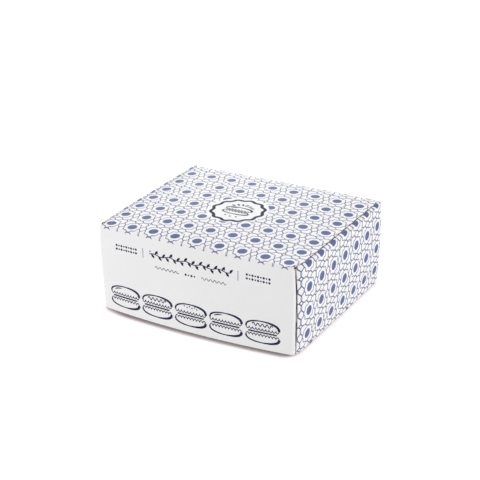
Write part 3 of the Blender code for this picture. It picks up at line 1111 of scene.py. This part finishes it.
@dataclass
class SideWall:
    """Rolled side wall: outer leaf, rolled top edge and the ledge under the lid's edge."""

    form: CartonForm
    palette: Palette
    side: Side
    stations: int = 60
    face_steps: int = 24
    arc_steps: int = 8
    end_rounding: float = 1.2 * MM
    inside: float = 83.0 * MM
    base_half: float = 84.5 * MM
    roll_radius: float = 2.2 * MM
    lip_radius: float = 0.5 * MM
    least_lip: float = 0.05 * MM
    lip_drop: float = 0.02 * MM
    foot_radius: float = 1.2 * MM
    gap: float = 0.3 * MM
    hidden_length: float = 4.0 * MM
    first_dot_y: float = -55.5 * MM
    print_level_y: float = 10.5 * MM

    @property
    def wall(self) -> WallForm:
        """Form of the wall's outside."""
        return WALL_FORMS[self.side]

    def outside(self, y: float, z: float) -> float:
        """Outer face of the wall.

        Args:
            y: Depth of the place.
            z: Height of the place.

        Returns:
            Distance from the middle of the carton.
        """
        form, wall = self.form, self.wall
        middle, reach = form.wall_span
        power, end_form = wall.back_power, wall.back_end
        if y < middle:
            power, end_form = wall.front_power, wall.front_end
        square = 1.0 - min(abs(y - middle) / reach, 1.0) ** power
        height = z / form.lid_height
        belly = math.sin(math.pi * height)
        full, end = (
            foot + lean * height + swell * belly + flare * height**4
            for foot, lean, swell, flare in (wall.middle, end_form)
        )
        if y < middle:
            return end + (full - end) * square
        inward = self.end_rounding - min(form.wall_back - y, self.end_rounding)
        rounding = self.end_rounding - math.sqrt(self.end_rounding**2 - inward**2)
        return end + (full - end) * square - rounding

    def ledge(self, y: float) -> float:
        """Height of the ledge under the lid's edge, which drops with the hinge.

        Args:
            y: Depth of the place.

        Returns:
            The height.
        """
        form = self.form
        along = y - (form.back_y - form.hinge_radius)
        if along <= 0.0:
            return form.lid_height - form.board - self.gap
        inside = form.hinge_radius - form.board - self.gap
        return form.lid_height - form.hinge_radius + math.sqrt(inside**2 - along**2)

    def section(self, y: float) -> list[Triple]:
        """Outline of the wall at one depth, for the right-hand side.

        Args:
            y: Depth of the section.

        Returns:
            Place across, height, and length up the unrolled wall of each point.
        """
        form, roll_top = self.form, self.wall.roll_top
        step = form.lid_edge(y, self.side) + self.wall.roll_gap
        under = form.board + 2 * self.gap
        beside_base = self.base_half + self.gap
        points = [(self.inside, under, 0.0), (beside_base, under, 0.0), (beside_base, 0.0, 0.0)]
        foot_top = self.foot_radius / 2
        heel = self.outside(y, 0.0) - self.foot_radius
        for turn in spread(0.0, QUARTER, 3)[:-1]:
            z = foot_top * (1.0 - math.cos(turn))
            points.append((heel + (self.outside(y, foot_top) - heel) * math.sin(turn), z, z))
        roll_base = roll_top - self.roll_radius
        for z in spread(foot_top, roll_base, self.face_steps):
            points.append((self.outside(y, z), z, z))
        top = self.outside(y, roll_base)
        width = min(self.roll_radius, top - step)
        for turn in spread(0.0, QUARTER, self.arc_steps)[1:]:
            x = top - width * (1.0 - math.cos(turn))
            z = roll_base + self.roll_radius * math.sin(turn)
            points.append((x, z, roll_base + self.roll_radius * turn))
        last_x, _, length = points[-1]
        lip = min(self.lip_radius, max(last_x - step, self.least_lip) / 2)
        length += last_x - step
        for turn in spread(0.0, QUARTER, 3):
            x = step + lip * (1.0 - math.sin(turn))
            z = roll_top - self.lip_drop - lip * (1.0 - math.cos(turn))
            points.append((x, z, length - lip + lip * turn))
        ledge, hidden = self.ledge(y), length + self.hidden_length
        points.append((step, ledge, length + roll_top - ledge))
        points += [(self.inside, z, hidden) for z in (ledge, under)]
        return points

    def build(self) -> None:
        """Sweep the section along the wall, close it and dress it."""
        form, palette, side = self.form, self.palette, self.side.value
        pitch, (middle, reach) = palette.tile.pitch, form.wall_span
        places, prints = [], []
        for turn in spread(-QUARTER, QUARTER, self.stations):
            y = middle + reach * math.sin(turn)
            section = self.section(y)
            across = (y - self.first_dot_y) / pitch
            rise = self.wall.print_rise * (y - self.print_level_y)
            top = self.wall.top_dots
            places.append([Vector((side * x, y, z)) for x, z, _ in section])
            prints.append([(across, (length - rise - top) / pitch) for _, _, length in section])
        name = f"rolled_wall_{self.side.name.lower()}"
        wall = shaped_grid(name, places, prints)
        dress(
            wall,
            palette.printed_wall(),
            palette.seam_with_painted_shade(f"{name}_folded_end"),
            palette.plain_paper(f"{name}_inside", palette.wall_inside),
            palette.raw_board(f"{name}_cut_edge"),
        )
        in_edit_mode(wall, self._close, select_all=True)
        for face in wall.data.polygons:
            under_lid = face.normal.z > 0.5 and face.center.z < form.lid_height - form.board
            if abs(face.normal.y) > 0.9:
                face.material_index = 1 if face.normal.y < 0.0 else 3
            elif face.normal.x * side < -0.9 or face.normal.z < -0.7 or under_lid:
                face.material_index = 2
        smooth(wall, 40.0)
        form.to_frame(wall)
        settle(wall, "printed_wall", f"side_wall_{self.side.name.lower()}")

    def _close(self) -> None:
        """Weld the swept sheet, cap its two open ends and turn its faces outwards."""
        bpy.ops.mesh.remove_doubles(threshold=0.001 * MM)
        bpy.ops.mesh.select_all(action="DESELECT")
        bpy.ops.mesh.select_mode(type="EDGE")
        bpy.ops.mesh.select_non_manifold()
        bpy.ops.mesh.fill_holes(sides=0)
        bpy.ops.mesh.select_all(action="SELECT")
        bpy.ops.mesh.normals_make_consistent(inside=False)


@dataclass
class InkPen:
    """Draws flat shapes on a sheet, which are then laid on the carton as a thin film of ink."""

    form: CartonForm
    ink: Material
    surface: Callable[[float, float, float], Vector]  # from a place and a lift to a point
    lift: float = 0.04 * MM
    film: float = 0.08 * MM
    shapes: list[Object] = field(default_factory=list)

    def stroke(self, points: Sequence[Point], widths: Sequence[float], closed: bool = False) -> None:
        """Draw a line of changing width.

        Args:
            points: The line's middle.
            widths: Its full width at each point.
            closed: Whether the line returns to its start.
        """
        path = list(points) + ([points[0]] if closed else [])
        sizes = list(widths) + ([widths[0]] if closed else [])
        left, right = [], []
        for i, (x, y) in enumerate(path):
            before = path[i - 1] if i > 0 else (path[-2] if closed else path[0])
            after = path[i + 1] if i < len(path) - 1 else (path[1] if closed else path[-1])
            run = Vector((after[0] - before[0], after[1] - before[1]))
            normal = Vector((-run.y, run.x)).normalized() * sizes[i] / 2
            left.append(Vector((x + normal.x, y + normal.y, 0.0)))
            right.append(Vector((x - normal.x, y - normal.y, 0.0)))
        self.shapes.append(shaped_grid("stroke", [right, left]))

    def line(self, points: Sequence[Point], width: float, closed: bool = False) -> None:
        """Draw a line of one width."""
        self.stroke(points, [width] * len(points), closed)

    def blob(self, centre: Point, width: float, height: float, sides: int = 16) -> None:
        """Draw a filled ellipse, or a diamond with four sides.

        Args:
            centre: Its middle.
            width: Its full width.
            height: Its full height.
            sides: Corners of its outline.
        """
        bpy.ops.object.select_all(action="DESELECT")
        bpy.ops.mesh.primitive_circle_add(vertices=sides, radius=0.5, fill_type="NGON")
        disc = bpy.context.object
        disc.data.transform(Matrix.Diagonal((width, height, 1.0, 1.0)))
        disc.data.transform(Matrix.Translation((*centre, 0.0)))
        self.shapes.append(disc)

    def leaf(self, base: Point, turn: float, length: float = 4.4 * MM, width: float = 1.9 * MM) -> None:
        """Draw a pointed leaf.

        Args:
            base: Where it leaves its stem.
            turn: Its direction, in radians.
            length: Its length.
            width: Its greatest width.
        """
        points, widths = [], []
        for share in spread(0.0, 1.0, 8):
            along = length * share
            points.append((base[0] + along * math.cos(turn), base[1] + along * math.sin(turn)))
            widths.append(max(width * math.sin(math.pi * share) ** 0.8, 0.02 * width))
        self.stroke(points, widths)

    def lay(self, name: str) -> None:
        """Lay all that was drawn on the carton.

        Args:
            name: Name of the piece.
        """
        bpy.ops.object.select_all(action="DESELECT")
        for shape in self.shapes:
            shape.select_set(True)
        bpy.context.view_layer.objects.active = self.shapes[0]
        bpy.ops.object.join()
        piece = bpy.context.object
        piece.name = piece.data.name = name
        for vertex in piece.data.vertices:
            vertex.co = self.surface(vertex.co.x, vertex.co.y, self.lift)
        dress(piece, self.ink)
        solidify(piece, self.film)
        self.form.to_frame(piece)
        settle(piece, "printed_board")


@dataclass
class MacaronDrawing:
    """Line drawing of a macaron: two smooth domed shells with ruffled feet, and the filling."""

    pen: InkPen
    x: float  # its middle
    foot: float  # its lowest point
    width: float
    height: float
    topping: Topping
    thick: float = 2.3 * MM
    thin: float = 0.95 * MM
    ruffles: int = 10
    drawn_width: float = 29.0 * MM  # at which the lines have their full weight

    @property
    def scale(self) -> float:
        """Size of the drawing's lines."""
        return self.width / self.drawn_width

    def draw(self) -> None:
        """Draw the shells, the filling and the topping."""
        filling = self.foot + self.height * 0.48
        upper, lower = filling + self.height * 0.19, filling - self.height * 0.19
        dome = self.foot + self.height - upper
        self._shell(upper, dome)
        self._shell(lower, self.foot - lower)
        self._ruffle(upper, -0.10 * self.height)
        self._ruffle(lower, 0.10 * self.height)
        cream = [(self.x + self.width * 0.43 * t, filling) for t in spread(-1.0, 1.0, 8)]
        self.pen.line(cream, self.height * 0.07)
        self._topping(upper, dome)

    def _shell(self, base: float, rise: float) -> None:
        """Draw a domed shell, thick at one side and fine over the top.

        Args:
            base: Height of the shell's rim.
            rise: Height of the dome, negative for the lower shell.
        """
        points, widths = [], []
        for turn in spread(0.0, math.pi, 30):
            level = math.sin(turn) ** 0.72
            points.append((self.x + self.width / 2 * math.cos(turn), base + rise * level))
            side = max(math.cos(turn), 0.0) ** 0.9 + 0.35 * max(-math.cos(turn), 0.0)
            widths.append((self.thin + (self.thick - self.thin) * min(side, 1.0)) * self.scale)
        self.pen.stroke(points, widths)

    def _ruffle(self, level: float, reach: float) -> None:
        """Draw the ruffled foot that closes a shell.

        Args:
            level: Height of the shell's rim.
            reach: How far the scallops stand out of the rim, negative for the upper shell.
        """
        points = []
        for t in spread(0.0, 1.0, self.ruffles * 8):
            wave = abs(math.sin(math.pi * self.ruffles * t)) ** 0.8
            points.append((self.x + self.width * (t - 0.5), level + reach * wave))
        self.pen.line(points, self.thin * 0.8 * self.scale)

    def _topping(self, base: float, dome: float) -> None:
        """Draw what the upper shell carries.

        Args:
            base: Rim of the upper shell.
            dome: Height of the dome.
        """
        x, width, scale = self.x, self.width, self.scale
        if self.topping is Topping.SHINE:
            points, widths = [], []
            for t in spread(0.0, 1.0, 12):
                turn = math.radians(158.0 - 52.0 * t)
                level = 0.72 * dome * math.sin(turn) ** 0.72
                points.append((x + 0.40 * width * math.cos(turn), base + level))
                widths.append(self.thin * scale * (0.35 + 0.75 * math.sin(math.pi * t)))
            self.pen.stroke(points, widths)
        elif self.topping is Topping.DRIZZLE:
            points = []
            for t in spread(0.0, 1.0, 48):
                wave = math.sin(2.0 * math.pi * 4.5 * t)
                points.append((x + width * 0.62 * (t - 0.5), base + dome * (0.46 + 0.20 * wave)))
            self.pen.line(points, self.thin * 0.85 * scale)
        else:
            shifts = (-0.20, -0.11, -0.03, 0.05, 0.13, 0.21)
            levels = (0.66, 0.52, 0.72, 0.55, 0.70, 0.52)
            for shift, level in zip(shifts, levels):
                centre = (x + width * shift, base + dome * level)
                self.pen.blob(centre, 1.3 * MM * scale, 1.1 * MM * scale)


@dataclass
class FrontArtwork:
    """Generic drawings on the white front panel. A row has its left, its right and its height."""

    form: CartonForm
    ink: Material
    frieze: Outline = (-80.7 * MM, 76.9 * MM, 5.1 * MM, 24.1 * MM)  # left, right, foot and top
    macarons: int = 5
    garland: Triple = (-39.8 * MM, 34.6 * MM, 58.2 * MM)
    leaves: int = 22
    stem_waves: int = 5
    stem_swing: float = 0.75 * MM
    small_line: Triple = (-34.5 * MM, 30.1 * MM, 48.0 * MM)
    wave_length: float = 22.0 * MM
    left_marks: Triple = (-72.4 * MM, -51.5 * MM, 57.5 * MM)
    right_marks: Triple = (46.7 * MM, 68.3 * MM, 58.2 * MM)
    rules: tuple[Point, Point] = ((-46.0 * MM, 61.7 * MM), (40.3 * MM, 61.2 * MM))  # and their tops
    rule_length: float = 8.0 * MM

    def build(self) -> None:
        """Draw the frieze and the small ornaments."""
        for name, draw in (
            ("frieze_of_macarons", self._frieze),
            ("leafy_garland", self._garland),
            ("small_ornaments", self._small_ornaments),
        ):
            pen = InkPen(self.form, self.ink, self.form.front_point)
            draw(pen)
            pen.lay(name)

    def _frieze(self, pen: InkPen) -> None:
        """Draw a row of macarons along the foot of the panel.

        Args:
            pen: The pen to draw with.
        """
        left, right, low, high = self.frieze
        pitch = (right - left) / self.macarons
        toppings = list(Topping)
        foot, height = low + 0.5 * MM, high - low - 1.0 * MM
        for i in range(self.macarons):
            middle = left + pitch * (i + 0.5)
            MacaronDrawing(pen, middle, foot, pitch * 0.88, height, toppings[i % len(toppings)]).draw()

    def _garland(self, pen: InkPen) -> None:
        """Draw a leafy stem over the middle of the panel.

        Args:
            pen: The pen to draw with.
        """
        left, right, level = self.garland

        def on_stem(t: float) -> Point:
            """Point of the stem, for t from 0 to 1."""
            swing = self.stem_swing * math.sin(2 * math.pi * self.stem_waves * t)
            return left + (right - left) * t, level + swing

        pen.line([on_stem(t) for t in spread(0.0, 1.0, 90)], 0.70 * MM)
        for i in range(self.leaves):
            x, z = on_stem((i + 0.5) / self.leaves)
            up = 1 if i % 2 else -1
            pen.leaf((x, z), up * math.radians(48.0))
            pen.blob((x - 1.0 * MM, z - up * 1.9 * MM), 1.2 * MM, 1.2 * MM)

    def _small_ornaments(self, pen: InkPen) -> None:
        """Draw the upright rules, the rows of small marks and the fine line under the garland.

        Args:
            pen: The pen to draw with.
        """
        for x, high in self.rules:
            pen.line([(x, z) for z in spread(high - self.rule_length, high, 6)], 0.45 * MM)
        for left, right, level in (self.left_marks, self.right_marks):
            for row in (1.55 * MM, -1.55 * MM):
                self._marks(pen, left, right, level + row, 9)
        left, right, level = self.small_line
        for start, end in ((left, left + self.wave_length), (right - self.wave_length, right)):
            wave = []
            for t in spread(0.0, 1.0, 60):
                wave.append((start + (end - start) * t, level + 0.9 * MM * math.sin(2 * math.pi * 6 * t)))
            pen.line(wave, 0.50 * MM)
        self._marks(pen, left + 27.0 * MM, right - 27.0 * MM, level, 4)

    def _marks(self, pen: InkPen, left: float, right: float, level: float, count: int) -> None:
        """Draw a row of small diamonds and dots.

        Args:
            pen: The pen to draw with.
            left: Where the row starts.
            right: Where it ends.
            level: Its height.
            count: How many marks it has.
        """
        for i in range(count):
            x = left + (right - left) * (i + 0.5) / count
            if i % 2:
                pen.blob((x, level), 1.4 * MM, 1.4 * MM)
            else:
                pen.blob((x, level), 2.3 * MM, 2.4 * MM, sides=4)


@dataclass
class RoundSeal:
    """Generic round seal on the lid: a scalloped border, leaves, dots and a macaron."""

    form: CartonForm
    ink: Material
    centre: Point
    radius: float = 21.1 * MM
    lobes: int = 12
    scallop: float = 0.9 * MM
    border: float = 2.7 * MM

    def build(self) -> None:
        """Draw the seal."""
        pen = InkPen(self.form, self.ink, self.form.lid_point)
        cx, cy = self.centre
        self._border(pen)
        lines = {"thick": 2.6 * MM, "thin": 1.3 * MM, "ruffles": 8}
        MacaronDrawing(pen, cx, cy - 7.6 * MM, 23.0 * MM, 13.5 * MM, Topping.SHINE, **lines).draw()
        for side in (-1, 1):
            for i in range(3):
                base = (cx + side * (0.8 + 2.8 * i) * MM, cy + (9.6 - 0.5 * i * i) * MM)
                pen.leaf(base, math.radians(90.0 - side * (28.0 + 24.0 * i)))
        for i in (-1, 0, 1):
            pen.blob((cx + 5.0 * MM * i, cy - (12.8 - 0.9 * abs(i)) * MM), 1.8 * MM, 1.8 * MM)
        pen.lay("round_seal")

    def _border(self, pen: InkPen) -> None:
        """Draw the scalloped ring round the seal's middle.

        Args:
            pen: The pen to draw with.
        """
        cx, cy = self.centre
        points = []
        for turn in spread(0.0, 2.0 * math.pi, self.lobes * 8)[:-1]:
            reach = self.radius + self.scallop * math.cos(self.lobes * turn)
            points.append((cx + reach * math.cos(turn), cy + reach * math.sin(turn)))
        pen.line(points, self.border, closed=True)


@dataclass
class HiddenParts:
    """Base and shut inside, which keep their solids, and the lock tabs, which get a finer piece."""

    palette: Palette
    edge_round: float = 0.12 * MM
    liner: float = 0.25 * MM
    groove: float = 0.3 * MM

    def build(self) -> None:
        """Finish the core and the base, and rebuild the tabs."""
        palette = self.palette
        dress(FRAME["nodes"]["closed_core"], palette.plain_paper("inner_board", palette.inner))
        dress(FRAME["nodes"]["base_panel"], palette.plain_paper("base_paper", palette.underside))
        raw = palette.raw_board("tab_board")
        for side in Side:
            for place in ("front", "rear"):
                self._tab(f"lock_tab_{side.name.lower()}_{place}", side, raw)

    def _tab(self, node: str, side: Side, raw: Material) -> None:
        """Rebuild one lock tab with soft edges and its fluting open at the end.

        Args:
            node: The solid that it stands for.
            side: Which wall it is in.
            raw: Its finish.
        """
        low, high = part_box(node)
        bpy.ops.object.select_all(action="DESELECT")
        bpy.ops.mesh.primitive_cube_add(size=1.0, location=(low + high) / 2)
        tab = bpy.context.object
        tab.name = node.replace("lock_tab", "tab")
        tab.scale = high - low
        bpy.ops.object.transform_apply(location=True, rotation=True, scale=True)
        select_faces(tab, lambda face: face.normal.x * side.value > 0.9)

        def open_end() -> None:
            """Sink the fluting between the liners."""
            bpy.ops.mesh.inset(thickness=self.liner, depth=0.0)
            bpy.ops.mesh.inset(thickness=0.01 * MM, depth=-self.groove)

        in_edit_mode(tab, open_end)
        rounding = tab.modifiers.new("soft edges", "BEVEL")
        rounding.width = self.edge_round
        rounding.segments = 2
        apply_modifier(tab, rounding)
        dress(tab, raw)
        settle(tab, "raw_board", node)


def add_object(name: str, data: bpy.types.ID) -> Object:
    """Add a camera or a light to the scene.

    Args:
        name: Name of the object.
        data: Its camera or light.

    Returns:
        The object.
    """
    made = bpy.data.objects.new(name, data)
    bpy.context.scene.collection.objects.link(made)
    return made


@dataclass(frozen=True)
class Viewpoint:
    """Camera at the photograph's place, given by its angles."""

    middle_x: float  # of the carton's base, in the frame
    location: Triple = (493.13 * MM, -827.87 * MM, 483.88 * MM)
    azimuth: float = math.radians(30.799)
    elevation: float = math.radians(24.282)
    roll: float = math.radians(1.483)
    lens: float = 97.56
    sensor: float = 36.0

    def build(self) -> None:
        """Add the camera and make it the scene's own."""
        flat = math.cos(self.elevation)
        sine, cosine = math.sin(self.azimuth), math.cos(self.azimuth)
        forward = Vector((-sine * flat, cosine * flat, -math.sin(self.elevation)))
        level = Vector((cosine, sine, 0.0))
        down = forward.cross(level)
        right = math.cos(self.roll) * level + math.sin(self.roll) * down
        down = forward.cross(right)
        data = bpy.data.cameras.new("camera")
        data.lens, data.sensor_width = self.lens, self.sensor
        data.clip_start, data.clip_end = 0.01, 50.0
        camera = add_object("camera", data)
        turn = Matrix((right, -down, -forward)).transposed()
        place = Vector(self.location) + Vector((self.middle_x, 0.0, 0.0))
        camera.matrix_world = Matrix.Translation(place) @ turn.to_4x4()
        bpy.context.scene.camera = camera


@dataclass
class Studio:
    """White floor with a painted contact shadow, and plain soft light."""

    floor_size: float = 12.0
    floor_glow: float = 1.0
    sky_glow: float = 0.35
    painted_shadow_reach: float = 10.5 * MM
    shade_from: Triple = (0.10, 0.80, 0.55)
    shade_fade: Point = (-95.0 * MM, -62.0 * MM)
    aim: Triple = (0.0, 0.0, 0.04)
    softboxes: tuple[tuple[str, Triple, float, float], ...] = (  # name, middle, side and share
        ("overhead_softbox", (-0.35, 0.25, 1.65), 1.2, 0.425),
        ("right_softbox", (1.3, 0.05, 0.72), 0.9, 0.45),
        ("left_fill", (-0.50, -0.56, 0.30), 0.4, 0.32),
        ("low_back_panel", (-0.60, 1.00, 0.24), 0.6, 0.41),
    )
    # painted contact shadow: floor colours from dark brown where hemmed in to white where open
    painted_shadow_tones: tuple[tuple[float, Colour], ...] = (  # floor colours by its openness
        (0.30, (0.10, 0.08, 0.075)),
        (0.45, (0.19, 0.16, 0.155)),
        (0.51, (0.31, 0.26, 0.26)),
        (0.62, (0.72, 0.65, 0.68)),
        (0.71, (0.94, 0.86, 0.92)),
        (0.82, (1.0, 1.0, 1.0)),
    )

    def build(self) -> None:
        """Add the floor, the lights and the sky."""
        self._floor()
        for softbox in self.softboxes:
            self._light(*softbox)
        world = bpy.data.worlds.new("sky")
        world.use_nodes = True
        sky = world.node_tree.nodes["Background"].inputs
        sky["Color"].default_value = (1.0, 1.0, 1.0, 1.0)
        sky["Strength"].default_value = self.sky_glow
        scene = bpy.context.scene
        scene.world = world
        scene.view_settings.view_transform = "Standard"
        scene.view_settings.look = "None"

    def _light(self, name: str, location: Triple, size: float, share: float) -> None:
        """Add a square softbox that faces the carton.

        Args:
            name: Name of the light.
            location: Its middle.
            size: Length of its sides.
            share: Brightness that it alone gives a white sheet at the carton, 1 for full white.
        """
        data = bpy.data.lights.new(name, "AREA")
        data.shape = "SQUARE"
        data.size = size
        light = add_object(name, data)
        light.location = location
        aim = Vector(self.aim) - Vector(location)
        data.energy = share * (math.pi * aim.length) ** 2
        light.rotation_euler = aim.to_track_quat("-Z", "Y").to_euler()

    def _floor(self) -> None:
        """Add the floor. It glows white, with a contact shadow painted into its glow close to what stands
        on it, seen by camera rays only.
        """
        bpy.ops.object.select_all(action="DESELECT")
        bpy.ops.mesh.primitive_plane_add(size=self.floor_size)
        floor = bpy.context.object
        floor.name = "floor"
        finish = Finish("white_floor")
        finish.shader["Base Color"].default_value = (0.10, 0.10, 0.10, 1.0)
        finish.shader["Roughness"].default_value = 0.9
        finish.shader["Specular IOR Level"].default_value = 0.0
        finish.shader["Emission Strength"].default_value = self.floor_glow
        # Painted contact shadow: occlusion round a leaning normal, faded at the left end, picks the
        # floor's colour.
        lean = finish.node("CombineXYZ", dict(enumerate(self.shade_from))).outputs[0]
        values = {"Distance": self.painted_shadow_reach, "Normal": lean}
        openness = finish.node("AmbientOcclusion", values, samples=24).outputs["AO"]
        fade = finish.ramp(finish.parts(finish.place)[0], *self.shade_fade, 0.22, 0.0)
        shade = finish.node("ValToRGB", {"Fac": finish.math("ADD", openness, fade)})
        ramp = shade.color_ramp
        while len(ramp.elements) < len(self.painted_shadow_tones):
            ramp.elements.new(0.5)
        for element, (position, colour) in zip(ramp.elements, self.painted_shadow_tones):
            element.position = position
            element.color = (*colour, 1.0)
        # Only camera rays see the painted shadow; light that the floor throws back stays white.
        seen = finish.node("LightPath").outputs["Is Camera Ray"]
        glow_with_painted_shadow = finish.mix(seen, (1.0, 1.0, 1.0), shade.outputs["Color"])
        finish.feed(finish.shader["Emission Color"], glow_with_painted_shadow)
        dress(floor, finish.material)


def main() -> None:
    """Build the carton, piece by piece, and the studio round it."""
    logging.basicConfig(level=logging.INFO, format="%(message)s")
    form = CartonForm.from_frame()
    palette = Palette()
    ink = palette.ink()
    cover = CoverBoard(form, palette)
    cover.build()
    for side in Side:
        SideWall(form, palette, side).build()
    FrontArtwork(form, ink).build()
    RoundSeal(form, ink, cover.seal).build()
    HiddenParts(palette).build()
    Viewpoint(form.middle_x).build()
    Studio().build()


if __name__ == "__main__":
    main()
